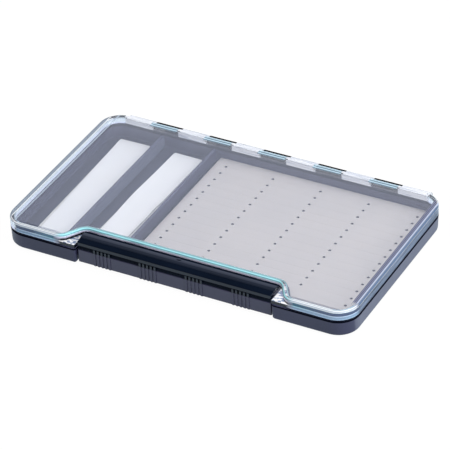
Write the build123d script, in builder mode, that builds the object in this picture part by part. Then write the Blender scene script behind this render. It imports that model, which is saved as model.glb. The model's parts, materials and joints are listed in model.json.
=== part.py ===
"""Slim waterproof fly box: dark tray, clear hinged lid, front latch bar and slit silicone pad.

Millimetres, +Z up. The box stands on Z = 0 with its latch facing -Y and its hinge at +Y.
X = 0 is the middle of its length, and Y = 0 the middle of its depth from front face to hinge barrel.
"""
from build123d import *
from math import cos, radians, sin, tan
import os

# Body, shared by the tray and the lid
body_length = 188.2
body_depth = 108.2
corner_radius = 11.2

# Tray
tray_height = 8.6
tray_draft = 2.5
tray_bottom_fillet = 1.5
cheek_corner_fillet = 1.2
tray_wall = 1.9
floor_thickness = 1.2
divider_thickness = 1.6
divider_drop = 0.8
left_bay_width = 28.5
middle_bay_width = 28.45
bay_floor_fillet = 0.8

# Front recess that takes the latch bar
recess_depth = 11.3
recess_slope = 58.0
recess_end_margin = 7.7
recess_root_radius = 4.5
recess_lip_radius = 7.0
recess_wall = 5.4
core_wall = 1.7
core_roof = 2.0
shelf_thickness = 1.7
shelf_latch_gap = 0.5

# Seal
seal_thickness = 0.8
seal_inset = 0.15
tongue_width = 0.7
tongue_depth = 0.7
seal_clearance = 0.05

# Lid
lid_height = 5.05
lid_wall = 2.0
lid_plate = 1.6
lid_top_fillet = 1.2
lid_inner_fillet = 0.8
ledge_thickness = 1.7
ledge_reach = 7.2
catch_height = 0.45
catch_width = 1.0

# Hinge
pin_diameter = 1.6
barrel_radius = 2.5
barrel_gap = 0.4
hinge_axis_rise = 0.1
tray_knuckle_count = 5
knuckle_pitch = 30.7
tray_knuckle_width = 14.8
knuckle_side_gap = 0.3
lid_end_knuckle_width = 15.4
web_foot_height = 3.2
web_tangent_angle = 37.0
pin_running_clearance = 0.05
pin_end_inset = 0.4

# Latch bar
latch_length = 104.8
latch_end_gap = 0.8
latch_end_fillet = 0.5
latch_face_setback = 1.1
latch_bottom = 0.95
latch_top_rise = 2.05
latch_crown = 0.25
latch_back_gap = 1.0
latch_back_round = 0.5
hook_tip_width = 0.8
tip_clearance = 0.1
catch_gap = 0.5
ledge_gap = 0.3
pivot_setback = 3.9
pivot_height = 4.3
pivot_barrel_radius = 2.0
trunnion_radius = 1.2
trunnion_length = 2.4
trunnion_end_gap = 0.3
plate_top_drop = 0.7
plate_setback = 0.35
plate_lean = 0.2
scoop_ledge = 0.4
scoop_depth = 1.55
band_rise = 1.4
band_height = 1.4
band_lean = 0.12
shoulder_run = 0.6
shoulder_rise = 0.6
shoulder_radius = 0.72
brow_run = 2.1
notch_width = 0.4
notch_depth = 0.2
rib_groups = 4
rib_group_pitch = 25.05
rib_group_shift = -1.3
ribs_per_group = 5
rib_pitch = 2.04
rib_width = 1.05
rib_height = 0.35
rib_round = 0.8
nib_length = 2.2
nib_width = 1.2
nib_height = 0.3

# Silicone pad
film_thickness = 0.1
pad_thickness = 2.6
pad_left_gap = 2.75
pad_right_gap = 3.0
pad_wall_gap = 0.25
hole_columns = 5
hole_rows = 13
column_pitch = 26.45
row_pitch = 6.2
first_row_inset = 6.65
first_column_inset = 6.2
hole_diameter = 1.5
hole_depth = 2.2
slit_width = 0.12
slit_depth = 1.9

# White strips in the two open bays
strip_width = 17.2
strip_thickness = 0.6
strip_corner_radius = 1.0
strip_rear_gap = 3.6
left_strip_front_gap = 10.8
right_strip_front_gap = 3.0
left_strip_side_gap = 6.3
right_strip_side_gap = 7.65
left_strip_angle = 1.0
right_strip_angle = -1.0

# Derived places
rear_reach = barrel_gap + 2 * barrel_radius
overall_depth = body_depth + rear_reach
front_y = -overall_depth / 2
rear_y = front_y + body_depth
half_length = body_length / 2
recess_y = front_y + recess_depth
recess_foot_x = latch_length / 2 + recess_end_margin
hinge_y = rear_y + barrel_gap + barrel_radius

seal_top = tray_height + seal_thickness
lid_bottom = seal_top + seal_clearance
ledge_top = lid_bottom + ledge_thickness
hinge_axis_height = seal_top + hinge_axis_rise
ledge_front_y = recess_y - ledge_reach
ledge_half_length = recess_foot_x + recess_lip_radius * tan(radians(recess_slope / 2))

bay_half_length = half_length - tray_wall
bay_front_y = front_y + tray_wall
bay_rear_y = rear_y - tray_wall
bay_recess_y = recess_y + recess_wall
left_bay = (-bay_half_length, -bay_half_length + left_bay_width)
middle_bay = (left_bay[1] + divider_thickness, left_bay[1] + divider_thickness + middle_bay_width)
pad_bay = (middle_bay[1] + divider_thickness, bay_half_length)

latch_half = latch_length / 2
notch_half = latch_half + latch_end_gap
latch_front_y = front_y + latch_face_setback
latch_back_y = recess_y - latch_back_gap
latch_inner_y = ledge_front_y - ledge_gap
pivot_y = front_y + pivot_setback
hook_under = ledge_top + catch_height + tip_clearance
tip_bottom = ledge_top + tip_clearance
latch_top = ledge_top + latch_top_rise
band_bottom = seal_top + band_rise
plate_top = tray_height - plate_top_drop


def recessed_outline(half_x, front, rear, corner_r, step_y, foot_x, root_r, lip_r):
    """Return the face of a rounded rectangle whose front steps back behind two S curves."""
    root_x = foot_x - (step_y - front) / tan(radians(recess_slope))
    points = [(half_x, rear), (-half_x, rear), (-half_x, front), (-foot_x, front),
              (-root_x, step_y), (root_x, step_y), (foot_x, front), (half_x, front)]
    radii = [corner_r, corner_r, corner_r, lip_r, root_r, root_r, lip_r, corner_r]
    with BuildSketch() as outline:
        with BuildLine():
            FilletPolyline(*points, radius=radii, close=True)
        make_face()
    return outline.sketch


def body_outline(inset=0.0):
    """Return the lid's outer outline, or the same outline moved in by a wall."""
    slope_shift = inset * tan(radians(recess_slope / 2))
    return recessed_outline(half_length - inset, front_y + inset, rear_y - inset,
                            corner_radius - inset, recess_y + inset, recess_foot_x + slope_shift,
                            recess_root_radius + inset, recess_lip_radius - inset)


def bay_outline(inset=0.0):
    """Return the inside of the tray, where the wall behind the latch is thicker."""
    slope_run = (bay_recess_y - bay_front_y) / tan(radians(recess_slope))
    root_x = recess_foot_x - (recess_y - front_y) / tan(radians(recess_slope))
    root_x += recess_wall * tan(radians(recess_slope / 2)) - tray_wall
    return recessed_outline(bay_half_length - inset, bay_front_y + inset, bay_rear_y - inset,
                            corner_radius - tray_wall - inset, bay_recess_y + inset,
                            root_x + slope_run + inset * tan(radians(recess_slope / 2)),
                            recess_root_radius + tray_wall + inset,
                            recess_lip_radius - tray_wall - inset)


def bay_cavity(x_range):
    """Make the hollow of one open bay: the tray's inside with a rounded floor, between two walls."""
    with BuildPart() as cavity:
        with BuildSketch(Plane.XY.offset(floor_thickness)):
            add(bay_outline())
        extrude(amount=tray_height)
        fillet(cavity.edges().group_by(Axis.Z)[0], bay_floor_fillet)
        with BuildSketch(Plane.XY.offset(floor_thickness)):
            with Locations((x_range[0], 0)):
                Rectangle(x_range[1] - x_range[0], 2 * overall_depth, align=(Align.MIN, Align.CENTER))
        extrude(amount=tray_height, mode=Mode.INTERSECT)
    return cavity.part


def knuckle_centres(count, pitch):
    """Return the X of each knuckle in an evenly spaced row about the middle."""
    return [(index - (count - 1) / 2) * pitch for index in range(count)]


def lid_knuckles():
    """Return the centre and width of each lid knuckle: one in each gap and one past each end."""
    gap_width = knuckle_pitch - tray_knuckle_width - 2 * knuckle_side_gap
    inner = [(x, gap_width) for x in knuckle_centres(tray_knuckle_count - 1, knuckle_pitch)]
    reach = (tray_knuckle_count - 1) / 2 * knuckle_pitch + tray_knuckle_width / 2
    end_x = reach + knuckle_side_gap + lid_end_knuckle_width / 2
    return [(-end_x, lid_end_knuckle_width)] + inner + [(end_x, lid_end_knuckle_width)]


# Tray: one moulding with dividers, hinge knuckles and the cheeks that carry the latch
with BuildPart() as tray:
    with BuildSketch(Plane.XY.offset(tray_height)):
        with Locations((0, (front_y + rear_y) / 2)):
            RectangleRounded(body_length, body_depth, corner_radius)
    extrude(amount=-tray_height, taper=tray_draft)
    with BuildSketch():
        with Locations((0, recess_y)):
            Rectangle(2 * notch_half, 2 * recess_depth, align=(Align.CENTER, Align.MAX))
    extrude(amount=tray_height, mode=Mode.SUBTRACT)
    cheek_front = tray.edges().filter_by_position(Axis.Y, front_y, front_y + tray_draft)
    cheek_corners = [edge for edge in cheek_front if abs(abs(edge.center().X) - notch_half) < tray_wall / 2
                     and abs(edge.length - tray_height) < tray_wall / 2]
    fillet(cheek_corners, cheek_corner_fillet)
    fillet(tray.edges().group_by(Axis.Z)[0], tray_bottom_fillet)
    add(bay_cavity(left_bay), mode=Mode.SUBTRACT)
    add(bay_cavity(middle_bay), mode=Mode.SUBTRACT)
    with BuildSketch(Plane.XY.offset(floor_thickness)):
        add(bay_outline())
        with Locations((pad_bay[0], 0)):
            Rectangle(body_length, 2 * overall_depth, align=(Align.MIN, Align.CENTER),
                      mode=Mode.INTERSECT)
    extrude(amount=tray_height, mode=Mode.SUBTRACT)
    # The dividers stop a little short of the rim
    with BuildSketch(Plane.XY.offset(tray_height)):
        add(bay_outline())
    extrude(amount=-divider_drop, mode=Mode.SUBTRACT)
    # The thick wall behind the latch is cored out from below
    core_width = recess_wall - 2 * core_wall
    with BuildSketch():
        with Locations((0, recess_y + recess_wall / 2)):
            SlotOverall(2 * notch_half - 4 * core_wall, core_width)
    extrude(amount=tray_height - core_roof, mode=Mode.SUBTRACT)
    # Shelf across the recess, under the lid's ledge and inside the latch
    with BuildSketch(Plane.XY.offset(tray_height)):
        with Locations((0, latch_inner_y + shelf_latch_gap)):
            Rectangle(2 * notch_half, bay_recess_y - core_wall - latch_inner_y - shelf_latch_gap,
                      align=(Align.CENTER, Align.MIN))
    extrude(amount=-shelf_thickness)
    # Hinge knuckles, each on a web that grows out of the rear wall
    for x in knuckle_centres(tray_knuckle_count, knuckle_pitch):
        with BuildSketch(Plane.YZ.offset(x - tray_knuckle_width / 2)):
            with Locations((hinge_y, hinge_axis_height)):
                Circle(barrel_radius)
            with BuildLine():
                Polyline((rear_y - tray_wall / 2, web_foot_height),
                         (rear_y - tray_wall / 2, tray_height),
                         (hinge_y, tray_height),
                         (hinge_y + barrel_radius * cos(radians(web_tangent_angle)),
                          hinge_axis_height - barrel_radius * sin(radians(web_tangent_angle))),
                         (rear_y, web_foot_height), close=True)
            make_face()
        extrude(amount=tray_knuckle_width)
    with BuildSketch(Plane.YZ.offset(-half_length)):
        with Locations((hinge_y, hinge_axis_height)):
            Circle(pin_diameter / 2)
    extrude(amount=body_length, mode=Mode.SUBTRACT)
    # Seal groove in the rim
    with BuildSketch(Plane.XY.offset(tray_height)):
        add(body_outline((tray_wall - tongue_width) / 2 - seal_clearance))
        add(body_outline((tray_wall + tongue_width) / 2 + seal_clearance), mode=Mode.SUBTRACT)
    extrude(amount=-tongue_depth - seal_clearance, mode=Mode.SUBTRACT)
    # Sockets in the cheeks for the latch trunnions
    with BuildSketch(Plane.YZ.offset(-notch_half - trunnion_length - trunnion_end_gap)):
        with Locations((pivot_y, pivot_height)):
            Circle(trunnion_radius + pin_running_clearance)
    extrude(amount=2 * (notch_half + trunnion_length + trunnion_end_gap), mode=Mode.SUBTRACT)

# Seal: a flat band on the rim with a tongue down into the groove
with BuildPart() as seal:
    with BuildSketch(Plane.XY.offset(tray_height)):
        add(body_outline(seal_inset))
        add(body_outline(tray_wall), mode=Mode.SUBTRACT)
    extrude(amount=seal_thickness)
    with BuildSketch(Plane.XY.offset(tray_height)):
        add(body_outline((tray_wall - tongue_width) / 2))
        add(body_outline((tray_wall + tongue_width) / 2), mode=Mode.SUBTRACT)
    extrude(amount=-tongue_depth)

# Lid: a clear tray upside down, with a ledge in the recess that the latch hooks over
with BuildPart() as lid_hollow:
    with BuildSketch(Plane.XY.offset(lid_bottom)):
        add(body_outline(lid_wall))
    extrude(amount=lid_height - lid_plate)
    fillet(lid_hollow.edges().group_by(Axis.Z)[-1], lid_inner_fillet)

with BuildPart() as lid:
    with BuildSketch(Plane.XY.offset(lid_bottom)):
        add(body_outline())
    extrude(amount=lid_height)
    fillet(lid.edges().group_by(Axis.Z)[-1], lid_top_fillet)
    with BuildSketch(Plane.XY.offset(lid_bottom)):
        with Locations((0, front_y)):
            Rectangle(2 * ledge_half_length, recess_depth + lid_wall / 2,
                      align=(Align.CENTER, Align.MIN))
        with Locations((0, ledge_front_y)):
            Rectangle(2 * notch_half, recess_depth, align=(Align.CENTER, Align.MAX),
                      mode=Mode.SUBTRACT)
    extrude(amount=ledge_thickness)
    with BuildSketch(Plane.XY.offset(ledge_top)):
        with Locations((0, latch_back_y - hook_tip_width - catch_gap)):
            Rectangle(latch_length, catch_width, align=(Align.CENTER, Align.MAX))
    extrude(amount=catch_height)
    for x, width in lid_knuckles():
        with BuildSketch(Plane.YZ.offset(x - width / 2)):
            with Locations((hinge_y, hinge_axis_height)):
                Circle(barrel_radius)
            with Locations((hinge_y, lid_bottom)):
                Rectangle(hinge_y - rear_y + lid_wall / 2,
                          hinge_axis_height + barrel_radius - lid_bottom,
                          align=(Align.MAX, Align.MIN))
        extrude(amount=width)
    add(lid_hollow.part, mode=Mode.SUBTRACT)
    with BuildSketch(Plane.YZ.offset(-half_length)):
        with Locations((hinge_y, hinge_axis_height)):
            Circle(pin_diameter / 2 + pin_running_clearance)
    extrude(amount=body_length, mode=Mode.SUBTRACT)

# Hinge pin: one steel rod through all the knuckles
pin_reach = lid_knuckles()[-1][0] + lid_end_knuckle_width / 2 - pin_end_inset
with BuildPart() as hinge_pin:
    with BuildSketch(Plane.YZ.offset(-pin_reach)):
        with Locations((hinge_y, hinge_axis_height)):
            Circle(pin_diameter / 2)
    extrude(amount=2 * pin_reach)

# Latch bar: finger plate, scoop, hook over the ledge, pivot barrel and finger ribs
plate_y = latch_front_y + plate_setback
scoop_y = plate_y + scoop_depth
band_top_y = latch_front_y + band_lean
shoulder_y = band_top_y + shoulder_run
brow_y = shoulder_y + brow_run
brow_bottom = band_bottom + band_height + shoulder_rise
crown_y = brow_y + notch_width
with BuildPart() as latch:
    with BuildSketch(Plane.YZ.offset(-latch_half)):
        with BuildLine():
            Polyline((pivot_y, latch_bottom),
                     (plate_y + plate_lean, latch_bottom),
                     (plate_y, plate_top),
                     (plate_y + scoop_ledge, plate_top + scoop_ledge),
                     (scoop_y, band_bottom),
                     (latch_front_y, band_bottom),
                     (band_top_y, band_bottom + band_height))
            RadiusArc((band_top_y, band_bottom + band_height), (shoulder_y, brow_bottom),
                      shoulder_radius)
            Polyline((shoulder_y, brow_bottom),
                     (brow_y, latch_top),
                     (brow_y + notch_width / 2, latch_top - notch_depth),
                     (crown_y, latch_top))
            ThreePointArc((crown_y, latch_top),
                          ((crown_y + latch_back_y - latch_back_round) / 2, latch_top + latch_crown),
                          (latch_back_y - latch_back_round, latch_top))
            RadiusArc((latch_back_y - latch_back_round, latch_top),
                      (latch_back_y, latch_top - latch_back_round), latch_back_round)
            Polyline((latch_back_y, latch_top - latch_back_round),
                     (latch_back_y, tip_bottom),
                     (latch_back_y - hook_tip_width, tip_bottom),
                     (latch_back_y - hook_tip_width, hook_under),
                     (latch_inner_y, hook_under),
                     (latch_inner_y, pivot_height),
                     (pivot_y, pivot_height),
                     (pivot_y, latch_bottom))
        make_face()
        with Locations((pivot_y, pivot_height)):
            Circle(pivot_barrel_radius)
    extrude(amount=latch_length)
    with BuildSketch(Plane.YZ.offset(-latch_half - trunnion_length)):
        with Locations((pivot_y, pivot_height)):
            Circle(trunnion_radius)
    extrude(amount=latch_length + 2 * trunnion_length)
    end_edges = latch.edges().filter_by_position(Axis.Y, latch_front_y, plate_y + scoop_depth / 2)
    end_edges = [edge for edge in end_edges if abs(abs(edge.center().X) - latch_half) < trunnion_end_gap]
    fillet([edge for edge in end_edges if edge.length > band_height / 2], latch_end_fillet)
    # Finger ribs: they stand on the plate and bridge the scoop up to the band
    rib_front_y = plate_y - rib_height
    for group_x in knuckle_centres(rib_groups, rib_group_pitch):
        for rib_x in knuckle_centres(ribs_per_group, rib_pitch):
            with BuildSketch(Plane.YZ.offset(rib_group_shift + group_x + rib_x - rib_width / 2)):
                with BuildLine():
                    Polyline((latch_inner_y, latch_bottom),
                             (rib_front_y + plate_lean, latch_bottom),
                             (rib_front_y, band_bottom - rib_round))
                    RadiusArc((rib_front_y, band_bottom - rib_round),
                              (rib_front_y + rib_round, band_bottom), rib_round)
                    Polyline((rib_front_y + rib_round, band_bottom),
                             (latch_inner_y, band_bottom),
                             (latch_inner_y, latch_bottom))
                make_face()
            extrude(amount=rib_width)
    with BuildSketch(Plane.XY.offset(latch_top)):
        with Locations((0, latch_back_y - nib_length)):
            Ellipse(nib_length / 2, nib_width / 2)
    extrude(amount=nib_height + latch_crown)

# Silicone pad: rows of slits that end in small holes, on a film of adhesive
film_top = floor_thickness + film_thickness
pad_top = film_top + pad_thickness
pad_left = pad_bay[0] + pad_left_gap
pad_right = pad_bay[1] - pad_right_gap
pad_rear = bay_rear_y - pad_wall_gap
first_hole = (pad_left + first_column_inset, pad_rear - first_row_inset)


def pad_outline(inset=0.0):
    """Return the pad's plan, or its film's a little smaller: it steps round the latch recess."""
    with BuildSketch() as outline:
        add(bay_outline(pad_wall_gap + inset))
        with Locations(((pad_left + pad_right) / 2, 0)):
            Rectangle(pad_right - pad_left - 2 * inset, 2 * overall_depth, mode=Mode.INTERSECT)
    return outline.sketch


with BuildPart() as pad:
    with BuildSketch(Plane.XY.offset(film_top)):
        add(pad_outline())
    extrude(amount=pad_thickness)
    last_column = first_hole[0] + (hole_columns - 1) * column_pitch
    last_row = first_hole[1] - hole_rows * row_pitch
    for row in range(hole_rows):
        y = first_hole[1] - row * row_pitch
        with BuildSketch(Plane.XY.offset(pad_top)):
            with Locations(((first_hole[0] + last_column) / 2, y)):
                Rectangle(last_column - first_hole[0], slit_width)
        extrude(amount=-slit_depth, mode=Mode.SUBTRACT)
    with BuildSketch(Plane.XY.offset(pad_top)):
        with Locations((last_column, last_row)):
            Rectangle(last_column - recess_foot_x - recess_wall, slit_width,
                      align=(Align.MAX, Align.CENTER))
    extrude(amount=-slit_depth, mode=Mode.SUBTRACT)
    with BuildSketch(Plane.XY.offset(pad_top)):
        hole_points = [(first_hole[0] + column * column_pitch, first_hole[1] - row * row_pitch)
                       for column in range(hole_columns) for row in range(hole_rows)]
        with Locations(*hole_points, (last_column, last_row)):
            Circle(hole_diameter / 2)
    extrude(amount=-hole_depth, mode=Mode.SUBTRACT)

with BuildPart() as pad_film:
    with BuildSketch(Plane.XY.offset(floor_thickness)):
        add(pad_outline(pad_wall_gap))
    extrude(amount=film_thickness)


def strip_solid(x, angle, length, level, thickness):
    """Make a strip or its film, turned a little about the middle of its rear edge."""
    with BuildPart() as strip:
        with BuildSketch(Plane.XY.offset(level)):
            with Locations(Location((x, bay_rear_y - strip_rear_gap, 0), (0, 0, angle))):
                Rectangle(strip_width, length, align=(Align.CENTER, Align.MAX))
        extrude(amount=thickness)
        fillet(strip.edges().filter_by(Axis.Z), strip_corner_radius)
    return strip.part


left_strip_length = bay_rear_y - strip_rear_gap - bay_front_y - left_strip_front_gap
right_strip_length = bay_rear_y - strip_rear_gap - bay_recess_y - right_strip_front_gap
left_strip_x = left_bay[0] + left_strip_side_gap + strip_width / 2
right_strip_x = middle_bay[0] + right_strip_side_gap + strip_width / 2
left_strip = strip_solid(left_strip_x, left_strip_angle, left_strip_length, film_top, strip_thickness)
left_film = strip_solid(left_strip_x, left_strip_angle, left_strip_length,
                        floor_thickness, film_thickness)
right_strip = strip_solid(right_strip_x, right_strip_angle, right_strip_length,
                          film_top, strip_thickness)
right_film = strip_solid(right_strip_x, right_strip_angle, right_strip_length,
                         floor_thickness, film_thickness)

pieces = {
    "base_tray": tray.part,
    "rim_seal": seal.part,
    "lid": lid.part,
    "hinge_pin": hinge_pin.part,
    "latch_bar": latch.part,
    "silicone_pad": pad.part,
    "pad_adhesive": pad_film.part,
    "left_strip": left_strip,
    "left_strip_adhesive": left_film,
    "right_strip": right_strip,
    "right_strip_adhesive": right_film,
}
os.makedirs("parts", exist_ok=True)
for name, part in pieces.items():
    part.label = name
    export_step(part, f"parts/{name}.step")
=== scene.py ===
"""Looks of the fly box: dark moulded tray and latch, clear lid, silicone pad and white strips.

Metres, +Z up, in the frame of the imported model: the latch faces -Y and the hinge lies at +Y.
"""
import json
import math
from types import SimpleNamespace

import bmesh
import bpy
from mathutils import Matrix, Vector, noise


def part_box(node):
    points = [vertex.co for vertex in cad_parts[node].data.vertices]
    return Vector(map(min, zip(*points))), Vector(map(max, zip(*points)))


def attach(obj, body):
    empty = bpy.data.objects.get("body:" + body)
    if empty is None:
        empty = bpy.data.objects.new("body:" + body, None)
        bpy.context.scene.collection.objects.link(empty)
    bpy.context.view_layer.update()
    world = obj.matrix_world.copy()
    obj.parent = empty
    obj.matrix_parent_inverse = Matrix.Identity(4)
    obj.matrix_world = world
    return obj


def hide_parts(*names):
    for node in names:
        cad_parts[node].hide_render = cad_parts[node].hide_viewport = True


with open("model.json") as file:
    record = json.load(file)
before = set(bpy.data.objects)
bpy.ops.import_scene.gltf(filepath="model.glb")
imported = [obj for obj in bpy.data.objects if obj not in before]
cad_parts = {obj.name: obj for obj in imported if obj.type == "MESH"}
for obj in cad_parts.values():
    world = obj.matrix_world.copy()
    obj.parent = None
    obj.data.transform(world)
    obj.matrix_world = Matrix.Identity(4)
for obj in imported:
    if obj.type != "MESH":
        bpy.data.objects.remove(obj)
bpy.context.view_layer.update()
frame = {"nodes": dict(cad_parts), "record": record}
nodes = frame["nodes"]

MM = 0.001

# Camera: a long lens, well back
CAMERA_AZIMUTH = 29.2
CAMERA_ELEVATION = 34.69
CAMERA_ROLL = -2.51
CAMERA_DISTANCE = 1.4476
CAMERA_TARGET = (0.0020, -0.0059, 0.0070)
CAMERA_LENS = 237.6

# Light
WORLD_DIFFUSE = 0.70
ROOM_GLOSS = (0.03, 0.035, 0.045)
SOFTBOX_GLOSS = (0.72, 0.80, 1.06)
FLOOR_GLOSS = (0.68, 0.81, 0.91)
SOFTBOX_FOOT = (0.25, 0.42)
SOFTBOX_HEAD = (0.64, 0.82)
SOFTBOX_SIDE = (-0.1, 0.3)
FLOOR_STRENGTH = 1.06
FLOOR_SHARE = 0.90
KEY_WATTS = 3.0
SIDE_WATTS = 8.0
LAMP_SIZE = 0.6
KEY_PLACE = (-0.35, 0.45, 0.95)
SIDE_PLACE = (0.85, -0.15, 0.45)
FLOOR_HALF = 4.0
FLOOR_DROP = 0.0002
FLOOR_TONES = ((0.56, 0.56, 0.56), (0.60, 0.60, 0.60))

# Silicone pad: the plan follows the tray's inside, round the recess for the latch
PAD_COLUMNS = 5
PAD_ROWS = 13
PAD_COLUMN_PITCH = 26.45 * MM
PAD_ROW_PITCH = 6.2 * MM
PAD_FIRST_COLUMN = 6.2 * MM
PAD_FIRST_ROW = 6.65 * MM
PAD_STEP_DEPTH = 14.8 * MM
PAD_STEP_FOOT = 63.5 * MM
PAD_STEP_SLOPE = math.radians(58.0)
PAD_ROOT_RADIUS = 6.6 * MM
PAD_LIP_RADIUS = 4.8 * MM
PAD_CORNER_RADIUS = 9.0 * MM
PAD_CORNER_CENTRE_INSET = 6.3 * MM
PAD_EDGE_ROUND = 0.3 * MM
HOLE_RADIUS = 0.75 * MM
HOLE_DEPTH = 2.0 * MM
HOLE_LIP_DROP = 0.12 * MM
HOLE_PATCH = 1.15 * MM
SLIT_CREASE = 0.06 * MM
SLIT_CREASE_REACH = 0.1 * MM
PAD_WAVE = 0.05 * MM

# The pad's grid of points: rings round each hole, lines in from the edges, and lines between
HOLE_RINGS = (0.3 * MM, HOLE_RADIUS - 0.06 * MM, HOLE_RADIUS, HOLE_RADIUS + 0.07 * MM, HOLE_PATCH)
PAD_EDGE_LINE = 0.08 * MM
PAD_LINES_ACROSS = 3.0 * MM
PAD_LINES_ALONG = 2.0 * MM
PAD_STEP_START = PAD_STEP_FOOT - 13.0 * MM
PAD_STEP_LINES = 27
PAD_STEP_SPACING = 0.6 * MM

# White strips, stuck down by hand
STRIP_WIDTH = 17.2 * MM
STRIP_CORNER = 1.0 * MM
STRIP_EDGE_ROUND = 0.12 * MM
STRIP_WAVE = 0.05 * MM
STRIP_LINES_ALONG = 48
STRIP_LINES_ACROSS = 12
STRIP_LEAN = math.radians(1.0)
LEFT_STRIP_LENGTH = 90.0 * MM
RIGHT_STRIP_LENGTH = 83.0 * MM


# ---------------------------------------------------------------- node helpers

class Nodes:
    """Adds nodes to a material's or the world's tree and links them by name."""

    def __init__(self, tree):
        self.tree = tree

    def add(self, kind, links=None, values=None, **settings):
        """Add a node, set its settings and values, and feed its inputs from other sockets."""
        node = self.tree.nodes.new("ShaderNode" + kind)
        for name, value in settings.items():
            setattr(node, name, value)
        for name, value in (values or {}).items():
            node.inputs[name].default_value = value
        for name, socket in (links or {}).items():
            self.link(socket, node.inputs[name])
        return node

    def link(self, socket, target):
        """Link one socket to another."""
        self.tree.links.new(socket, target)

    def math(self, operation, first, second=0.0):
        """Combine two sockets or numbers and return the result's socket."""
        node = self.add("Math", operation=operation)
        for index, value in enumerate((first, second)):
            if hasattr(value, "is_linked"):
                self.link(value, node.inputs[index])
            else:
                node.inputs[index].default_value = value
        return node.outputs[0]

    def mix(self, factor, first, second):
        """Mix two colours, each a socket or a tuple, and return the result's socket."""
        node = self.add("Mix", data_type="RGBA")
        self.link(factor, node.inputs[0])
        for socket, value in ((node.inputs[6], first), (node.inputs[7], second)):
            if hasattr(value, "is_linked"):
                self.link(value, socket)
            else:
                socket.default_value = (*value, 1.0)
        return node.outputs[2]

    def mix_shader(self, factor, first, second):
        """Mix two shaders and return the result's socket."""
        return self.add("MixShader", {0: factor, 1: first, 2: second}).outputs[0]

    def noise(self, scale, detail=4.0, roughness=0.5):
        """Return a noise value from 0 to 1 at that many waves a metre."""
        return self.noise_along(self.position(), scale, detail, roughness)

    def stretched_noise(self, scales, detail, roughness, turn=0.0):
        """Return a noise value with its own waves a metre along X, Y and Z, turned about Z."""
        values = {"Scale": scales, "Rotation": (0.0, 0.0, turn)}
        space = self.add("Mapping", {"Vector": self.position()}, values)
        return self.noise_along(space.outputs[0], 1.0, detail, roughness)

    def noise_along(self, vector, scale, detail, roughness):
        """Return the noise value at a vector."""
        values = {"Scale": scale, "Detail": detail, "Roughness": roughness}
        return self.add("TexNoise", {"Vector": vector}, values).outputs[0]

    def position(self):
        """Return the surface point in the piece's own frame."""
        return self.add("TexCoord").outputs["Object"]

    def split(self, vector):
        """Return a vector's X, Y and Z."""
        return self.add("SeparateXYZ", {0: vector}).outputs

    def normal(self):
        """Return the X, Y and Z of the surface's direction."""
        return self.split(self.add("NewGeometry").outputs["Normal"])

    def spread(self, value, low, high, to_low=0.0, to_high=1.0):
        """Map a value from one range to another, clamped."""
        return self.add("MapRange", {0: value}, {1: low, 2: high, 3: to_low, 4: to_high}).outputs[0]

    def above(self, value, limits):
        """Return a mask that rises from 0 to 1 between two limits."""
        return self.spread(value, *limits)

    def below(self, value, limits):
        """Return a mask that falls from 1 to 0 between two limits."""
        return self.spread(value, *limits, 1.0, 0.0)

    def band(self, value, limits):
        """Return a mask that is 1 between two limits, with a short ramp at each."""
        low, high = limits
        return self.all_of(self.above(value, (low - BAND_RAMP, low + BAND_RAMP)),
                           self.below(value, (high - BAND_RAMP, high + BAND_RAMP)))

    def all_of(self, first, *others):
        """Return the part that masks share."""
        for mask in others:
            first = self.math("MULTIPLY", first, mask)
        return first

    def outside(self, mask):
        """Return what a mask leaves out."""
        return self.math("SUBTRACT", 1.0, mask)

    def fade(self, mask, without, within):
        """Return one value outside a mask and another in it."""
        return self.spread(mask, 0.0, 1.0, without, within)

    def bump(self, height, depth):
        """Return a normal bumped by a height of that depth in metres."""
        return self.add("Bump", {"Height": height}, {"Strength": 1.0, "Distance": depth}).outputs[0]


def new_material(name):
    """Make an empty node material and return it with its helper, its Principled shader and its output."""
    material = bpy.data.materials.new(name)
    material.use_nodes = True
    material.node_tree.nodes.clear()
    n = Nodes(material.node_tree)
    shader = n.add("BsdfPrincipled")
    output = n.add("OutputMaterial")
    n.link(shader.outputs[0], output.inputs["Surface"])
    return material, n, shader, output


def mm(low, high):
    """Return a pair of limits given in millimetres."""
    return low * MM, high * MM


# ---------------------------------------------------------------- materials

BAND_RAMP = 0.08 * MM
FULL_SPECULAR = 0.5
# Painted shadow, near black: under the lid's rim, on the tray's knuckle tops and low on the lid's recess
# wall
RIM_SHADOW = (0.001, 0.002, 0.006)

# Tray: its colours, its painted light, shade and shadow, and where each begins and ends
TRAY_COLOUR = (0.026, 0.028, 0.064)
TRAY_RUBBED = (0.042, 0.046, 0.086)
# Painted light: the tray's end faces are painted paler than the rest of the tray
TRAY_END_LIGHT = (0.088, 0.096, 0.148)
# Painted shade: the bay floors are painted darker than the walls
BAY_FLOOR_SHADE = (0.012, 0.015, 0.036)
# Painted light: the face of the first divider that looks to +X is painted paler
DIVIDER_FACE_LIGHT = (0.074, 0.086, 0.130)
TRAY_ROUGHNESS = 0.40
TRAY_GRAIN = 0.003 * MM
BAY_FLOOR_SPECULAR = 0.25
TRAY_SIDEWAYS = (0.75, 1.0)
TRAY_UPWARD = (0.8, 0.95)
TRAY_STEP_FACING = (0.3, 0.6)
TRAY_END_REACH = mm(93.0, 93.4)
TRAY_STEP_HEIGHT = mm(7.65, 7.85)
TRAY_KNUCKLE_HEIGHT = mm(8.7, 8.9)
BAY_FLOOR_HEIGHT = mm(1.5, 2.2)
DIVIDER_ACROSS = mm(-63.0, -61.0)
DIVIDER_HEIGHT = mm(7.6, 7.8)

# Latch
LATCH_COLOUR = (0.003, 0.006, 0.014)
LATCH_RUBBED = (0.007, 0.011, 0.022)
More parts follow.
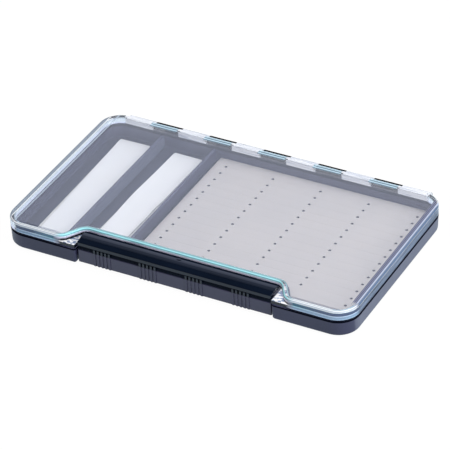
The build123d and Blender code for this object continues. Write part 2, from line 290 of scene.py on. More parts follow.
# Painted reflection: the finger plate is painted paler than the rest of the latch
PLATE_REFLECTION_COLOUR = (0.038, 0.037, 0.076)
LATCH_ROUGHNESS = 0.18
LATCH_GRAIN = 0.0015 * MM
LATCH_SPECULAR = 0.55
PLATE_HEIGHT = mm(8.0, 8.3)
CROWN_HEIGHT = mm(12.5, 12.6)
CROWN_REAR = mm(-48.2, -48.0)
CROWN_FADE = mm(-52.0, -48.4)
CROWN_GROOVE = mm(-51.0, -50.4)
CROWN_FRONT = mm(-52.8, -52.4)

# Clear lid: painted highlights and reflections on its round edges
EDGE_CYAN = (0.45, 0.92, 1.00)
EDGE_BLUE = (0.55, 0.74, 0.88)
EDGE_WHITE = (0.98, 0.98, 1.00)
EDGE_REAR = (0.72, 0.92, 1.00)
EDGE_NAVY = (0.22, 0.28, 0.42)
LINE_REAR = (0.28, 0.44, 0.52)
LINE_GREY = (0.40, 0.47, 0.60)
LINE_TEAL = (0.10, 0.24, 0.32)
# painted shade and reflections on its walls, at the front, beside the recess, at the foot, in the recess and
# at the right-hand end
WALL_DARK = (0.050, 0.080, 0.170)
WALL_BLUE = (0.16, 0.28, 0.44)
WALL_PALE = (0.26, 0.40, 0.58)
WALL_LINE = (0.40, 0.55, 0.78)
WALL_FOOT = (0.30, 0.44, 0.60)
NEAR_DARK = (0.02, 0.10, 0.17)
NEAR_CYAN = (0.30, 0.60, 0.76)
RECESS_PINK = (0.66, 0.66, 0.88)
SIDE_PALE = (0.12, 0.17, 0.29)
SIDE_DARK = (0.0, 0.012, 0.040)
# painted highlights, reflections and shade on the flat margins of its top
SIDE_BLUE = (0.27, 0.35, 0.50)
SIDE_WHITE = (0.44, 0.50, 0.66)
SIDE_NAVY = (0.020, 0.026, 0.070)
SIDE_EDGE = (0.09, 0.14, 0.24)
SIDE_GREY = (0.21, 0.22, 0.31)
HINGE_PALE = (0.56, 0.76, 0.88)
HINGE_BLUE = (0.13, 0.21, 0.27)
RIM_WHITE = (0.94, 0.98, 1.00)
RIM_GREY = (0.36, 0.42, 0.50)
RIM_PALE = (0.44, 0.52, 0.62)
FRONT_SHADE = (0.38, 0.41, 0.48)
# and its knuckles, painted white and grey as painted light, and its plate
KNUCKLE_WHITE = (0.86, 0.88, 0.93)
KNUCKLE_GREY = (0.52, 0.56, 0.66)
PLATE_TINTS = ((0.93, 0.95, 0.985), (0.96, 0.97, 0.99))
LAMP_TINT = (0.965, 0.965, 0.965, 1.0)

# How clear each part of the lid is
PLATE_CLEAR = 0.97
EDGE_CLEAR = 0.50
CREST_CLEAR = 0.30
WALL_CLEAR = 0.25
KNUCKLE_CLEAR = 0.15
LINE_CLEAR = 0.10
SIDE_CLEAR = 0.05

# Where each part of the lid begins and ends: by the surface's tilt, height, place across and depth,
# and by the distance from the middle (reach) or round the corners (corner)
LEVEL = {"upright": (0.05, 0.12), "rounded": (0.10, 0.45), "line": (0.26, 0.34),
         "line_end": (0.50, 0.58), "outer_edge": (0.78, 0.84), "rounded_end": (0.90, 0.99),
         "flat": (0.985, 0.995), "ledge": (0.99, 0.995)}
HEIGHT = {"top": mm(13.0, 13.2), "recess_shade": mm(12.35, 12.45), "wall_line": mm(11.6, 11.7),
          "ledge": mm(11.3, 11.5), "low_wall": mm(11.0, 11.1), "foot": mm(9.8, 10.0)}
ACROSS = {"side_flat": mm(90.3, 90.5), "side_line": mm(92.45, 93.15), "side_edge": mm(93.2, 93.3),
          "rim_foot": mm(-91.5, -91.4), "rim_line": mm(-91.40, -90.85), "rim_band": mm(-88.3, -87.4)}
DEPTH = {"front_flat": mm(-55.35, -55.25), "front_band": mm(-55.2, -53.8), "recess_wall": mm(-45.2, -45.0),
         "ledge": mm(-44.4, -44.2), "recess": mm(-41.0, -39.0), "rear_flat": mm(46.9, 47.1),
         "rear_band": mm(47.85, 48.65), "hinge": mm(48.6, 49.2), "rear_end": mm(49.35, 49.5)}
REACH = {"ledge": mm(53.3, 53.6), "recess": mm(61.0, 65.0), "ledge_end": mm(65.0, 66.0),
         "beside_recess": mm(66.0, 78.0), "last_knuckle": mm(84.4, 84.6)}
CORNER = {"ahead": mm(0.0, 3.0), "side": mm(8.0, 8.4), "wall": mm(10.5, 10.8)}
CORNER_X = 82.9 * MM
CORNER_Y = -45.6 * MM
KNUCKLE_BEAT = 15.35 * MM
KNUCKLE_EDGE = mm(7.55, 7.7)
SIDE_BEAT = 0.43 * MM
SIDE_BEAT_START = 90.54 * MM
SIDE_BEAT_EDGE = mm(0.12, 0.30)
PLAIN_LINE_SHIFT = 0.17

# Pad, strips, films and pin: the ends of each mottled colour
SEAL_TONES = ((0.001, 0.002, 0.008), (0.003, 0.004, 0.012))
PAD_TONES = ((0.495, 0.463, 0.452), (0.525, 0.492, 0.481))
PAD_STREAK = (0.445, 0.418, 0.412)
PAD_SOFTNESS = 1.2 * MM
# Painted shade: the dark colour inside the pad's holes
HOLE_SHADE_TONES = ((0.05, 0.05, 0.06), (0.09, 0.09, 0.10))
STRIP_TONES = ((0.87, 0.875, 0.89), (0.84, 0.845, 0.86))
# Painted light: the strips brighten towards their right edges, beside the dividers
STRIP_PAINTED_LIGHT = (0.98, 0.98, 1.0)
LEFT_STRIP_FADE = mm(-76.0, -67.0)
LEFT_STRIP_END = mm(-62.1, -62.0)
RIGHT_STRIP_FADE = mm(-47.5, -38.0)
FILM_TONES = ((0.62, 0.62, 0.60), (0.74, 0.74, 0.72))
STEEL_TONES = ((0.50, 0.51, 0.53), (0.64, 0.65, 0.67))


def moulded_plastic(name, colour, rubbed, roughness, grain):
    """Dark ABS: fine spark texture, slightly uneven gloss, handled a little paler in places."""
    material, n, shader, _ = new_material(name)
    cloud = n.above(n.noise(60.0, 3.0), (0.35, 0.7))
    handled = n.spread(n.noise(22.0, 6.0, 0.7), 0.58, 0.75, 0.0, 0.5)
    tone = n.mix(cloud, colour, tuple(c * 1.2 for c in colour))
    tone = n.mix(handled, tone, rubbed)
    gloss = n.spread(n.noise(220.0, 5.0), 0.3, 0.7, roughness - 0.03, roughness + 0.03)
    n.link(gloss, shader.inputs["Roughness"])
    n.link(n.bump(n.noise(5200.0, 3.0, 0.6), grain), shader.inputs["Normal"])
    shader.inputs["IOR"].default_value = 1.5
    return material, n, shader, tone


def tray_plastic():
    """The tray's plastic: matt, with painted light on its end faces and on one divider's face, painted shade
    on its bay floors, and a near-black painted shadow in its knuckles and under the lid.
    """
    material, n, shader, tone = moulded_plastic("tray_plastic", TRAY_COLOUR, TRAY_RUBBED,
                                                TRAY_ROUGHNESS, TRAY_GRAIN)
    across, _, height = n.split(n.position())
    sideways, _, facing = n.normal()
    # The end faces, which take painted light
    end = n.all_of(n.above(n.math("ABSOLUTE", sideways), TRAY_SIDEWAYS),
                   n.above(n.math("ABSOLUTE", across), TRAY_END_REACH))
    # Painted shadow: near black and without gloss on the tray's rim under the lid and on the knuckle tops
    painted_shadow = n.all_of(n.above(height, TRAY_STEP_HEIGHT), n.below(facing, TRAY_STEP_FACING))
    painted_shadow = n.math("MAXIMUM", painted_shadow, n.above(height, TRAY_KNUCKLE_HEIGHT))
    # The bay floors, which take painted shade and less gloss
    floor = n.all_of(n.above(facing, TRAY_UPWARD), n.below(height, BAY_FLOOR_HEIGHT))
    # That divider face, which takes painted light
    divider = n.all_of(n.above(sideways, TRAY_SIDEWAYS), n.band(across, DIVIDER_ACROSS),
                       n.below(height, DIVIDER_HEIGHT))
    # Painted light on the divider's face and the end faces, painted shade on the bay floors, then the
    # painted shadow over them all
    for mask, colour in ((divider, DIVIDER_FACE_LIGHT), (end, TRAY_END_LIGHT), (floor, BAY_FLOOR_SHADE), (painted_shadow, RIM_SHADOW)):
        tone = n.mix(mask, tone, colour)
    n.link(tone, shader.inputs["Base Color"])
    gloss = n.math("MINIMUM", n.fade(painted_shadow, FULL_SPECULAR, 0.0),
                   n.fade(floor, FULL_SPECULAR, BAY_FLOOR_SPECULAR))
    n.link(gloss, shader.inputs["Specular IOR Level"])
    return material


def latch_plastic():
    """The latch's plastic: smoother and darker than the tray's, with a painted reflection that makes its
    finger plate paler, and painted gloss on its crown.
    """
    material, n, shader, tone = moulded_plastic("latch_plastic", LATCH_COLOUR, LATCH_RUBBED,
                                                LATCH_ROUGHNESS, LATCH_GRAIN)
    _, depth, height = n.split(n.position())
    # Painted reflection: the finger plate below the crown is paler
    n.link(n.mix(n.below(height, PLATE_HEIGHT), tone, PLATE_REFLECTION_COLOUR), shader.inputs["Base Color"])
    # Painted highlight: the crown's gloss is set by place, dull at its rear edge, full behind, then fading
    # over the groove to the front edge
    crown_painted_gloss = n.all_of(n.below(depth, CROWN_REAR), n.spread(depth, *CROWN_FADE, 0.4, 1.1),
                     n.fade(n.band(depth, CROWN_GROOVE), 1.0, 0.4), n.spread(depth, *CROWN_FRONT, 0.1, 1.0))
    crown_painted_gloss = n.math("MAXIMUM", crown_painted_gloss, n.outside(n.above(height, CROWN_HEIGHT)))
    n.link(n.math("MULTIPLY", crown_painted_gloss, LATCH_SPECULAR), shader.inputs["Specular IOR Level"])
    return material


def lid_masks(n):
    """Return the masks that tell where a point of the lid lies."""
    level = n.math("ABSOLUTE", n.normal()[2])
    across, depth, height = n.split(n.position())
    reach = n.math("ABSOLUTE", across)
    over_x = n.math("MAXIMUM", n.math("SUBTRACT", across, CORNER_X), 0.0)
    over_y = n.math("MAXIMUM", n.math("SUBTRACT", CORNER_Y, depth), 0.0)
    corner = n.math("ADD", n.math("MULTIPLY", over_x, over_x), n.math("MULTIPLY", over_y, over_y))
    corner = n.math("SQRT", corner)
    at = SimpleNamespace()
    # Regions
    at.recess = n.all_of(n.below(reach, REACH["recess"]), n.below(depth, DEPTH["recess"]))
    at.hinge = n.above(depth, DEPTH["hinge"])
    at.beside_recess = n.below(reach, REACH["beside_recess"])
    ahead = n.below(over_y, CORNER["ahead"])
    at.side = n.all_of(ahead, n.above(over_x, CORNER["side"]))
    at.plain = n.outside(n.math("MAXIMUM", at.recess, at.hinge))
    inner_reach = n.below(reach, REACH["last_knuckle"])
    beat = n.all_of(n.above(n.math("PINGPONG", reach, KNUCKLE_BEAT), KNUCKLE_EDGE), inner_reach)
    at.knuckle = n.all_of(at.hinge, beat)
    # Round edges of the top
    top = n.above(height, HEIGHT["top"])
    at.rounded = n.all_of(n.above(level, LEVEL["rounded"]), n.below(level, LEVEL["rounded_end"]))
    at.crest = n.all_of(at.rounded, top)
    turn = n.math("SUBTRACT", level, n.math("MULTIPLY", at.plain, PLAIN_LINE_SHIFT))
    at.line = n.all_of(n.above(turn, LEVEL["line"]), n.below(turn, LEVEL["line_end"]), top)
    at.outer_side = n.all_of(at.side, n.below(level, LEVEL["outer_edge"]))
    at.side_edge = n.all_of(at.crest, ahead, n.above(across, ACROSS["side_edge"]))
    # Walls seen from outside
    upright = n.below(level, LEVEL["upright"])
    at.wall = n.all_of(upright, n.above(corner, CORNER["wall"]))
    at.side_wall = n.all_of(at.wall, at.side)
    at.wall_line = n.all_of(at.wall, n.below(height, HEIGHT["wall_line"]))
    at.low_wall = n.all_of(at.wall, n.below(height, HEIGHT["low_wall"]))
    at.foot = n.all_of(at.wall, n.below(height, HEIGHT["foot"]))
    at.recess_wall = n.all_of(upright, at.recess, n.below(depth, DEPTH["recess_wall"]))
    at.recess_shade = n.all_of(at.recess_wall, n.below(height, HEIGHT["recess_shade"]))
    at.ledge = n.all_of(n.above(reach, REACH["ledge"]), n.below(reach, REACH["ledge_end"]),
                        n.below(depth, DEPTH["ledge"]), n.above(level, LEVEL["ledge"]),
                        n.below(height, HEIGHT["ledge"]))
    # Flat margins of the top
    flat = n.all_of(n.above(level, LEVEL["flat"]), top)
    at.side_flat = n.all_of(flat, ahead, n.above(across, ACROSS["side_flat"]))
    side_step = n.math("PINGPONG", n.math("SUBTRACT", across, SIDE_BEAT_START), SIDE_BEAT)
    at.side_beat = n.above(side_step, SIDE_BEAT_EDGE)
    at.side_line = n.all_of(top, ahead, n.band(across, ACROSS["side_line"]))
    at.rear_flat = n.all_of(flat, n.above(depth, DEPTH["rear_flat"]), inner_reach, n.outside(beat))
    at.rear_lines = n.math("MAXIMUM", n.band(depth, DEPTH["rear_band"]), n.above(depth, DEPTH["rear_end"]))
    at.front_flat = n.all_of(flat, at.plain, n.below(depth, DEPTH["front_flat"]))
    at.front_band = n.all_of(flat, at.plain, n.band(depth, DEPTH["front_band"]))
    at.rim_line = n.all_of(flat, n.band(across, ACROSS["rim_line"]))
    at.rim_band = n.all_of(flat, n.band(across, ACROSS["rim_band"]))
    at.rim_foot = n.all_of(top, n.below(across, ACROSS["rim_foot"]))
    return at


def lid_tint_and_painted_light(n, at):
    """Return the lid's colour: a faint haze over the plate, then painted highlights, reflections and shade,
    each laid over those before it.
    """
    haze = n.above(n.noise(45.0, 5.0, 0.6), (0.3, 0.7))
    # Painted glints: white and navy patches for the ledges beside the recess
    painted_facet_glints = n.above(n.stretched_noise((420.0, 700.0, 420.0), 1.0, 0.4, 0.6), (0.44, 0.52))
    grain = n.spread(n.stretched_noise((70.0, 1700.0, 1700.0), 2.0, 0.5), 0.52, 0.62, 0.0, 0.9)
    streak = n.above(n.stretched_noise((60.0, 60.0, 1400.0), 3.0, 0.6), (0.3, 0.7))
    # Painted highlights, reflections and shade, laid by place on the lid
    layers = (
        (at.rounded, n.mix(at.side, n.mix(at.recess, EDGE_BLUE, EDGE_CYAN), EDGE_NAVY)),
        (n.all_of(at.crest, at.plain), n.mix(at.outer_side, EDGE_WHITE, SIDE_BLUE)),
        (n.all_of(at.hinge, at.rounded), EDGE_REAR),
        (at.line, n.mix(at.hinge, n.mix(at.recess, LINE_GREY, LINE_TEAL), LINE_REAR)),
        (at.front_band, FRONT_SHADE),
        (at.front_flat, EDGE_WHITE),
        (at.rim_foot, RIM_GREY),
        (at.rim_band, RIM_PALE),
        (at.rim_line, RIM_WHITE),
        (at.side_flat, n.mix(at.side_beat, SIDE_NAVY, SIDE_GREY)),
        (at.side_edge, SIDE_EDGE),
        (at.side_line, SIDE_WHITE),
        (at.rear_flat, n.mix(at.rear_lines, HINGE_BLUE, HINGE_PALE)),
        (at.wall, n.mix(at.beside_recess, WALL_DARK, NEAR_DARK)),
        (at.wall_line, n.mix(at.beside_recess, WALL_LINE, NEAR_CYAN)),
        (at.low_wall, n.mix(streak, WALL_BLUE, WALL_PALE)),
        (at.foot, WALL_FOOT),
        (at.side_wall, n.mix(streak, SIDE_DARK, SIDE_PALE)),
        (at.recess_wall, RECESS_PINK),
        (at.recess_shade, RIM_SHADOW),
        (at.ledge, n.mix(painted_facet_glints, EDGE_NAVY, EDGE_WHITE)),
        (at.knuckle, n.mix(grain, KNUCKLE_WHITE, KNUCKLE_GREY)),
    )
    tint = n.mix(haze, *PLATE_TINTS)
    for mask, colour in layers:
        tint = n.mix(mask, tint, colour)
    return tint


def lid_clearness(n, at):
    """Return how much light the lid lets through: it is less clear where light and shade are painted on it,
    and where its parts meet, the least clear one wins.
    """
    clear = n.fade(at.rounded, PLATE_CLEAR, EDGE_CLEAR)
    parts = ((EDGE_CLEAR, at.rim_foot),
             (CREST_CLEAR, at.crest, at.line, at.rim_band, at.front_flat),
             (WALL_CLEAR, at.wall, at.rear_flat, at.rim_line, at.recess_wall, at.ledge),
             (KNUCKLE_CLEAR, at.knuckle),
             (LINE_CLEAR, at.side_line, n.all_of(at.crest, at.hinge)),
             (SIDE_CLEAR, at.side_flat, at.side_edge, at.side_wall),
             (0.0, at.recess_shade))
    for share, *masks in parts:
        for mask in masks:
            clear = n.math("MINIMUM", clear, n.fade(mask, 1.0, share))
    return clear


def clear_plastic():
    """Polished polycarbonate: clear in its plate; its edges, walls, margins and knuckles carry painted
    highlights, reflections and shade in white, blue, cyan and navy.
    """
    material, n, shader, output = new_material("clear_plastic")
    at = lid_masks(n)
    n.link(lid_tint_and_painted_light(n, at), shader.inputs["Base Color"])
    n.link(lid_clearness(n, at), shader.inputs["Transmission Weight"])
    shader.inputs["IOR"].default_value = 1.585
    n.link(n.spread(n.noise(420.0, 6.0, 0.7), 0.55, 0.8, 0.012, 0.05), shader.inputs["Roughness"])
    n.link(n.bump(n.noise(14.0, 2.0), 0.02 * MM), shader.inputs["Normal"])
    # Lamp and bounced light pass straight through, so the bays are lit under the lid
    paths = n.add("LightPath").outputs
    lamp = n.math("MAXIMUM", paths["Is Shadow Ray"], paths["Is Diffuse Ray"])
    through = n.add("BsdfTransparent", values={"Color": LAMP_TINT})
    n.link(n.mix_shader(lamp, shader.outputs[0], through.outputs[0]), output.inputs["Surface"])
    return material


def seal_rubber():
    """Black silicone rubber with a soft, dusty sheen."""
    material, n, shader, _ = new_material("seal_rubber")
    dust = n.above(n.noise(300.0, 5.0), (0.45, 0.75))
    n.link(n.mix(dust, *SEAL_TONES), shader.inputs["Base Color"])
    n.link(n.fade(dust, 0.45, 0.6), shader.inputs["Roughness"])
    shader.inputs["Specular IOR Level"].default_value = 0.1
    n.link(n.bump(n.noise(2500.0, 4.0), 0.02 * MM), shader.inputs["Normal"])
    return material


def pad_silicone():
    """Pale grey silicone: satin, a little mottled, with faint lines where the slits run."""
    material, n, shader, _ = new_material("pad_silicone")
    mottle = n.above(n.noise(90.0, 5.0, 0.6), (0.3, 0.7))
    streaks = n.above(n.stretched_noise((30.0, 900.0, 30.0), 3.0, 0.6), (0.35, 0.7))
    base = n.mix(mottle, *PAD_TONES)
    n.link(n.mix(n.math("MULTIPLY", streaks, 0.5), base, PAD_STREAK), shader.inputs["Base Color"])
    n.link(n.fade(mottle, 0.42, 0.55), shader.inputs["Roughness"])
    n.link(n.bump(n.noise(3800.0, 3.0, 0.6), 0.03 * MM), shader.inputs["Normal"])
    shader.inputs["Subsurface Weight"].default_value = 0.12
    shader.inputs["Subsurface Radius"].default_value = (PAD_SOFTNESS, PAD_SOFTNESS, PAD_SOFTNESS)
    shader.inputs["Subsurface Scale"].default_value = 1.0
    return material


def hole_painted_shade():
    """Painted shade: a dark colour on the walls inside the pad's holes."""
    material, n, shader, _ = new_material("pad_hole_painted_shade")
    tone = n.above(n.noise(900.0, 3.0), (0.3, 0.7))
    n.link(n.mix(tone, *HOLE_SHADE_TONES), shader.inputs["Base Color"])
    n.link(n.fade(tone, 0.6, 0.75), shader.inputs["Roughness"])
    return material


def strip_white():
    """White flexible strip: satin, faintly rippled, a little handled, with painted light that brightens it
    towards its right edge, where the divider's shade falls.
    """
    material, n, shader, _ = new_material("strip_white")
    handled = n.above(n.noise(70.0, 6.0, 0.65), (0.45, 0.75))
    across = n.split(n.position())[0]
    # Painted light towards each strip's right edge
    strip_painted_light = n.all_of(n.above(across, LEFT_STRIP_FADE), n.below(across, LEFT_STRIP_END))
    strip_painted_light = n.math("MAXIMUM", strip_painted_light, n.above(across, RIGHT_STRIP_FADE))
    tone = n.mix(handled, *STRIP_TONES)
    n.link(n.mix(strip_painted_light, tone, STRIP_PAINTED_LIGHT), shader.inputs["Base Color"])
    n.link(n.fade(handled, 0.38, 0.5), shader.inputs["Roughness"])
    ripple = n.math("ADD", n.noise(45.0, 2.0), n.math("MULTIPLY", n.noise(1800.0, 3.0), 0.06))
    n.link(n.bump(ripple, 0.2 * MM), shader.inputs["Normal"])
    return material


def adhesive_film():
    """Milky double-sided film."""
    material, n, shader, _ = new_material("adhesive_film")
    tone = n.above(n.noise(250.0, 5.0), (0.3, 0.7))
    n.link(n.mix(tone, *FILM_TONES), shader.inputs["Base Color"])
    n.link(n.fade(tone, 0.3, 0.45), shader.inputs["Roughness"])
    return material


def pin_steel():
    """Drawn stainless wire, with fine marks along its length."""
    material, n, shader, _ = new_material("pin_steel")
    marks = n.above(n.stretched_noise((20.0, 9000.0, 9000.0), 4.0, 0.6), (0.3, 0.7))
    n.link(n.mix(marks, *STEEL_TONES), shader.inputs["Base Color"])
    n.link(n.fade(marks, 0.22, 0.34), shader.inputs["Roughness"])
    shader.inputs["Metallic"].default_value = 1.0
    return material


materials = {
    "tray_plastic": tray_plastic(),
    "latch_plastic": latch_plastic(),
    "clear_plastic": clear_plastic(),
    "seal_rubber": seal_rubber(),
    "pad_silicone": pad_silicone(),
    "strip_white": strip_white(),
    "adhesive_film": adhesive_film(),
    "pin_steel": pin_steel(),
}
slots = {row["node"]: row["material_slot"] for row in frame["record"]["subparts"]}
for name, node in nodes.items():
    node.data.materials.clear()
    node.data.materials.append(materials[slots[name]])


# ---------------------------------------------------------------- pieces

def add_piece(name, mesh, material, body, slot, *replaced):
    """Put a mesh in the scene as a piece that rides on a body in place of CAD nodes."""
    mesh.validate()
    mesh.shade_smooth()
    mesh.set_sharp_from_angle(angle=math.radians(40.0))
    mesh.materials.append(material)
    piece = bpy.data.objects.new(name, mesh)
    bpy.context.scene.collection.objects.link(piece)
    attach(piece, body)
    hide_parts(*replaced)
    return piece


def closed_sheet(name, columns, bottom):
    """Make a closed solid from columns of top points: the sides drop to a flat bottom."""
    shell = bmesh.new()
    grid = [[shell.verts.new(point) for point in column] for column in columns]
    for left, right in zip(grid, grid[1:]):
        for row in range(len(left) - 1):
            shell.faces.new((left[row], right[row], right[row + 1], left[row + 1]))
    bmesh.ops.remove_doubles(shell, verts=shell.verts, dist=0.0005 * MM)
    bmesh.ops.dissolve_degenerate(shell, edges=shell.edges, dist=0.0002 * MM)
    rim = [edge for edge in shell.edges if edge.is_boundary]
    wall = bmesh.ops.extrude_edge_only(shell, edges=rim)["geom"]
    foot = [item for item in wall if isinstance(item, bmesh.types.BMVert)]
    for vert in foot:
        vert.co.z = bottom
    bmesh.ops.holes_fill(shell, edges=[edge for edge in shell.edges if edge.is_boundary], sides=0)
    bmesh.ops.triangulate(shell, faces=[face for face in shell.faces if len(face.verts) > 4])
    bmesh.ops.recalc_face_normals(shell, faces=shell.faces)
    mesh = bpy.data.meshes.new(name)
    shell.to_mesh(mesh)
    shell.free()
    return mesh


def pad_front(x, front):
    """Return the Y of the pad's front edge at X: it steps back beside the latch."""
    step_y = front + PAD_STEP_DEPTH
    root_x = PAD_STEP_FOOT - PAD_STEP_DEPTH / math.tan(PAD_STEP_SLOPE)
    root_run = PAD_ROOT_RADIUS * math.tan(PAD_STEP_SLOPE / 2)
    lip_run = PAD_LIP_RADIUS * math.tan(PAD_STEP_SLOPE / 2)
    if x <= root_x - root_run:
        return step_y
    if x < root_x + root_run * math.cos(PAD_STEP_SLOPE):
        return step_y - PAD_ROOT_RADIUS + math.sqrt(PAD_ROOT_RADIUS ** 2 - (x - root_x + root_run) ** 2)
    if x < PAD_STEP_FOOT - lip_run * math.cos(PAD_STEP_SLOPE):
        return step_y - (x - root_x) * math.tan(PAD_STEP_SLOPE)
    if x < PAD_STEP_FOOT + lip_run:
        return front + PAD_LIP_RADIUS - math.sqrt(PAD_LIP_RADIUS ** 2 - (x - PAD_STEP_FOOT - lip_run) ** 2)
    return front


def corner_cut(x, right):
    """Return how far the pad's corners at the right-hand end round off at X."""
    into = max(x - right + PAD_CORNER_CENTRE_INSET, 0.0)
    return PAD_CORNER_RADIUS - math.sqrt(PAD_CORNER_RADIUS ** 2 - into ** 2)


def feature_lines(start, end, centres, offsets, spacing):
    """Return sorted grid lines from start to end: some at each centre, the rest evenly between."""
    lines = [centre + offset for centre in centres for offset in offsets]
    stops = [start] + sorted(line for line in lines if start < line < end) + [end]
    filled = []
    for low, high in zip(stops, stops[1:]):
        count = max(1, round((high - low) / spacing))
        filled += [low + (high - low) * index / count for index in range(count)]
    return filled + [end]


def round_off(depth_in, radius):
    """Return how far a rounded edge drops at a distance in from the edge."""
    if depth_in >= radius:
        return 0.0
    return radius - math.sqrt(radius ** 2 - (radius - depth_in) ** 2)


def pad_point(x, y, holes, top, rows, slit_ends):
    """Return a top point of the pad: drawn round into its hole, or creased along its slit."""
    drop = PAD_WAVE * (0.5 + 0.5 * noise.noise(Vector((x * 60.0, y * 130.0, 0.3))))
    row = min(rows, key=lambda line: abs(line - y))
    if abs(y - row) < 0.02 * MM and slit_ends[0] < x < slit_ends[1]:
        drop += SLIT_CREASE
    near = min(holes, key=lambda hole: max(abs(hole[0] - x), abs(hole[1] - y)))
    across, along = x - near[0], y - near[1]
    ring = max(abs(across), abs(along))
    if ring >= HOLE_PATCH or ring == 0.0:
        return (x, y, top - drop - (HOLE_DEPTH if ring == 0.0 else 0.0))
    share = min(1.0, (HOLE_PATCH - ring) / (HOLE_PATCH - HOLE_RADIUS))
    pull = 1.0 + share * (ring / math.hypot(across, along) - 1.0)
    if ring < HOLE_RADIUS - 0.03 * MM:
        drop += HOLE_DEPTH
    elif ring < HOLE_RADIUS + 0.01 * MM:
        drop += HOLE_LIP_DROP
    return (near[0] + across * pull, near[1] + along * pull, top - drop)


def make_pad():
    """Mould the silicone pad: crowned edges, rows of closed slits and a hole at each slit's end."""
    low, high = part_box("silicone_pad")
    columns = [low[0] + PAD_FIRST_COLUMN + index * PAD_COLUMN_PITCH for index in range(PAD_COLUMNS)]
    rows = [high[1] - PAD_FIRST_ROW - index * PAD_ROW_PITCH for index in range(PAD_ROWS + 1)]
    holes = [(x, y) for x in columns for y in rows[:-1]] + [(columns[-1], rows[-1])]
    offsets = [-ring for ring in reversed(HOLE_RINGS)] + [0.0] + list(HOLE_RINGS)
    steps = [PAD_STEP_START + index * PAD_STEP_SPACING for index in range(PAD_STEP_LINES)]
    edges = (PAD_EDGE_LINE, PAD_EDGE_ROUND)
    x_lines = feature_lines(low[0], high[0], columns, offsets, PAD_LINES_ACROSS)
    x_lines = sorted(set(x_lines + steps + [low[0] + inset for inset in edges]
                         + [high[0] - inset for inset in edges]))
    crease = [-SLIT_CREASE_REACH, SLIT_CREASE_REACH]
    y_lines = feature_lines(low[1], high[1], rows, sorted(offsets + crease), PAD_LINES_ALONG)
    slit_ends = (columns[0], columns[-1])
    grid = []
    for x in x_lines:
        cut = corner_cut(x, high[0])
        front, rear = pad_front(x, low[1]) + cut, high[1] - cut
        side_in = min(x - low[0], high[0] - x)
        inner = [min(max(y, front + PAD_EDGE_ROUND), rear - PAD_EDGE_ROUND) for y in y_lines]
        column = []
        for y in [front, front + PAD_EDGE_LINE] + inner + [rear - PAD_EDGE_LINE, rear]:
            place = pad_point(x, y, holes, high[2], rows, slit_ends)
            edge_drop = round_off(min(side_in, y - front, rear - y), PAD_EDGE_ROUND)
            column.append((place[0], place[1], place[2] - edge_drop))
        grid.append(column)
    mesh = closed_sheet("slit_pad", grid, low[2])
    pad = add_piece("slit_pad", mesh, materials["pad_silicone"], "tray", "pad_silicone", "silicone_pad")
    mesh.materials.append(hole_painted_shade())
    # Painted shade: faces deep inside the holes take the dark material
    hole_roof = high[2] - PAD_EDGE_ROUND - PAD_WAVE
    for face in mesh.polygons:
        inside = min(math.hypot(face.center.x - x, face.center.y - y) for x, y in holes) < HOLE_RADIUS
        if inside and low[2] < face.center.z < hole_roof:
            face.material_index = 1


def make_strip(name, node, length, lean, left_wave, right_wave):
    """Lay a thin flexible strip: its cut edges wander a little and it isn't quite flat."""
    low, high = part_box(node)
    centre = Vector(((low[0] + high[0]) / 2, (low[1] + high[1]) / 2))
    along = Vector((-math.sin(lean), math.cos(lean)))
    across = Vector((along.y, -along.x))
    ends = [0.0, STRIP_EDGE_ROUND, STRIP_CORNER * 0.3, STRIP_CORNER]
    middle = [STRIP_CORNER + (length - 2 * STRIP_CORNER) * index / STRIP_LINES_ALONG
              for index in range(1, STRIP_LINES_ALONG)]
    stations = ends + middle + [length - reach for reach in reversed(ends)]
    inner_shares = [index / STRIP_LINES_ACROSS for index in range(1, STRIP_LINES_ACROSS)]
    shares = [0.0, 0.006, 0.03] + inner_shares + [0.97, 0.994, 1.0]
    grid = []
    for reach in stations:
        t = reach / length
        nip = round_off(min(reach, length - reach), STRIP_CORNER)
        left = -STRIP_WIDTH / 2 + nip + left_wave(t)
        right = STRIP_WIDTH / 2 - nip + right_wave(t)
        column = []
        for share in shares:
            offset = left + (right - left) * share
            spot = centre + along * (length / 2 - reach) + across * offset
            inset = min(reach, length - reach, offset - left, right - offset)
            drop = round_off(max(inset, 0.0), STRIP_EDGE_ROUND)
            drop += STRIP_WAVE * (1.0 + noise.noise(Vector((spot.x * 55.0, spot.y * 35.0, 2.0))))
            column.append((spot.x, spot.y, high[2] - drop))
        grid.append(column)
    mesh = closed_sheet(name, grid, low[2])
    add_piece(name, mesh, materials["strip_white"], "tray", "strip_white", node)


def wave(start, end, *bumps):
    """Return an edge's wander along a strip: its shift at both ends, and bumps (size, centre, width)."""
    def height(t):
        bump = sum(size * math.exp(-((t - centre) / width) ** 2) for size, centre, width in bumps)
        return (start + (end - start) * t + bump) * MM
    return height


make_pad()
make_strip("white_strip_left", "left_strip", LEFT_STRIP_LENGTH, STRIP_LEAN,
           wave(0.0, 1.9), wave(0.3, 0.5, (0.1, 0.5, 0.2)))
make_strip("white_strip_right", "right_strip", RIGHT_STRIP_LENGTH, -STRIP_LEAN,
           wave(0.0, 0.0, (-0.35, 0.48, 0.15), (1.0, 0.9, 0.2)),
           wave(-0.9, -0.9, (-0.25, 0.58, 0.04), (0.2, 0.45, 0.08)))


# ---------------------------------------------------------------- stage

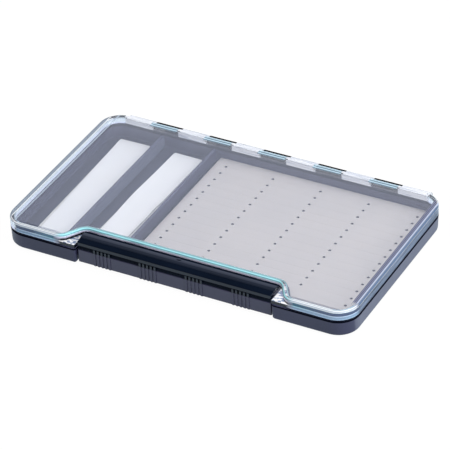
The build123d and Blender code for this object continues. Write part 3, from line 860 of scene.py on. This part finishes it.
def make_floor():
    """A pale studio floor at the height that the box stands on."""
    mesh = bpy.data.meshes.new("floor")
    corners = [(x * FLOOR_HALF, y * FLOOR_HALF, 0) for x, y in ((-1, -1), (1, -1), (1, 1), (-1, 1))]
    mesh.from_pydata(corners, [], [(0, 1, 2, 3)])
    floor = bpy.data.objects.new("floor", mesh)
    bpy.context.scene.collection.objects.link(floor)
    floor.location.z = -FLOOR_DROP
    material, n, shader, output = new_material("floor_paper")
    n.link(n.mix(n.noise(40.0), *FLOOR_TONES), shader.inputs["Base Color"])
    shader.inputs["Roughness"].default_value = 0.9
    # It glows white to the camera and in glass, and bluish in gloss, but keeps a share of its shadow
    paths = n.add("LightPath").outputs
    glow = n.mix(paths["Is Glossy Ray"], (1.0, 1.0, 1.0), FLOOR_GLOSS)
    white = n.add("Emission", {"Color": glow}, {"Strength": FLOOR_STRENGTH}).outputs[0]
    seen = n.math("MAXIMUM", paths["Is Camera Ray"], paths["Is Glossy Ray"])
    seen = n.math("MAXIMUM", seen, paths["Is Transmission Ray"])
    n.link(n.mix_shader(n.math("MULTIPLY", seen, FLOOR_SHARE), shader.outputs[0], white),
           output.inputs["Surface"])
    mesh.materials.append(material)


def make_world():
    """A white studio to the eye; in gloss, a dim room with one broad soft box high at the back."""
    world = bpy.data.worlds.new("studio")
    bpy.context.scene.world = world
    world.use_nodes = True
    world.node_tree.nodes.clear()
    n = Nodes(world.node_tree)
    paths = n.add("LightPath").outputs
    _, depth, height = n.split(n.add("TexCoord").outputs["Generated"])
    box = n.all_of(n.above(height, SOFTBOX_FOOT), n.below(height, SOFTBOX_HEAD),
                   n.above(depth, SOFTBOX_SIDE))
    gloss = n.mix(box, ROOM_GLOSS, SOFTBOX_GLOSS)
    white = n.math("MAXIMUM", paths["Is Camera Ray"], paths["Is Transmission Ray"])
    soft = n.mix(white, (WORLD_DIFFUSE, WORLD_DIFFUSE, WORLD_DIFFUSE), (1.0, 1.0, 1.0))
    seen = n.mix(paths["Is Glossy Ray"], soft, gloss)
    background = n.add("Background", {"Color": seen}, {"Strength": 1.0}).outputs[0]
    n.add("OutputWorld", {"Surface": background})


def make_lamp(name, place, watts):
    """Hang a square soft lamp at a place and turn it to the box."""
    data = bpy.data.lights.new(name, "AREA")
    data.shape = "SQUARE"
    data.size = LAMP_SIZE
    data.energy = watts
    lamp = bpy.data.objects.new(name, data)
    bpy.context.scene.collection.objects.link(lamp)
    lamp.location = place
    lamp.visible_glossy = False
    lamp.rotation_mode = "QUATERNION"
    lamp.rotation_quaternion = (-Vector(place)).to_track_quat("-Z", "Y")


def make_camera():
    """Aim a long lens at the box, from its front right and above."""
    azimuth, elevation = math.radians(CAMERA_AZIMUTH), math.radians(CAMERA_ELEVATION)
    back = Vector((math.sin(azimuth) * math.cos(elevation),
                   -math.cos(azimuth) * math.cos(elevation), math.sin(elevation)))
    data = bpy.data.cameras.new("camera")
    data.lens = CAMERA_LENS
    data.clip_start = 0.05
    data.clip_end = 20.0
    camera = bpy.data.objects.new("camera", data)
    bpy.context.scene.collection.objects.link(camera)
    turn = (-back).to_track_quat("-Z", "Y").to_matrix().to_4x4()
    roll = Matrix.Rotation(math.radians(CAMERA_ROLL), 4, "Z")
    camera.matrix_world = Matrix.Translation(Vector(CAMERA_TARGET) + back * CAMERA_DISTANCE) @ turn @ roll
    bpy.context.scene.camera = camera


make_floor()
make_world()
make_lamp("key", KEY_PLACE, KEY_WATTS)
make_lamp("side", SIDE_PLACE, SIDE_WATTS)
make_camera()
bpy.context.scene.view_settings.view_transform = "Standard"
